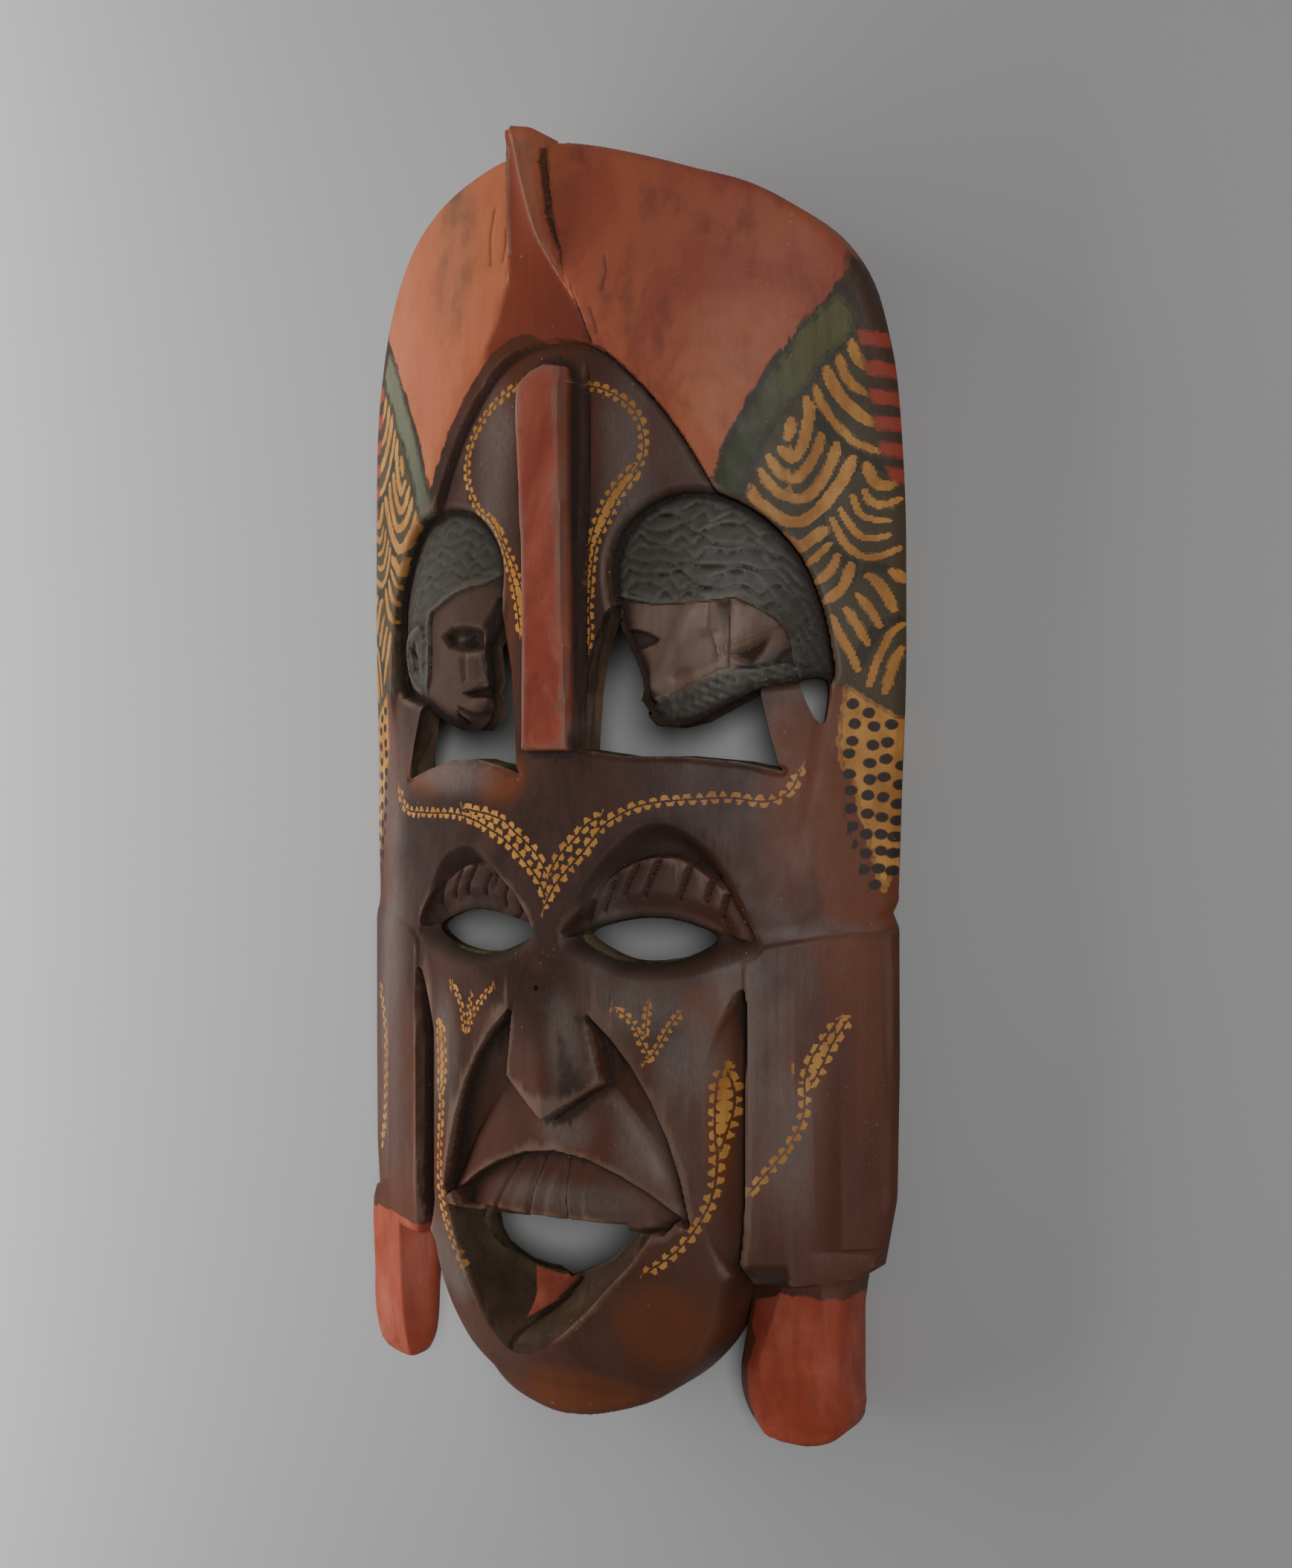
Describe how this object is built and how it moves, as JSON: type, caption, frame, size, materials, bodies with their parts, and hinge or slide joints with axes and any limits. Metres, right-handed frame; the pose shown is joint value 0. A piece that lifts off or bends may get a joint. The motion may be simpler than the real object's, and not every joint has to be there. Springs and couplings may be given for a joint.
{
  "type": "maasai mask",
  "caption": "Tall carved wooden wall mask with an arched headdress, crest, pierced windows holding small profile heads, long ears with ear plugs, and a hollow back.",
  "frame": {"origin": "middle of the mask's outline, in the plane of the rim that it lies on", "axes": "+X to the viewer's right, +Y to the top of the mask, +Z out of its face, towards the viewer"},
  "size_m": [0.244, 0.4934, 0.0775],
  "materials": {
    "stained_wood": "dark brown and brick red stain, hand carved and waxed, with painted ochre dots and worn edges"
  },
  "bodies": {
    "root": {"mask": "stained_wood"}
  },
  "joints": []
}
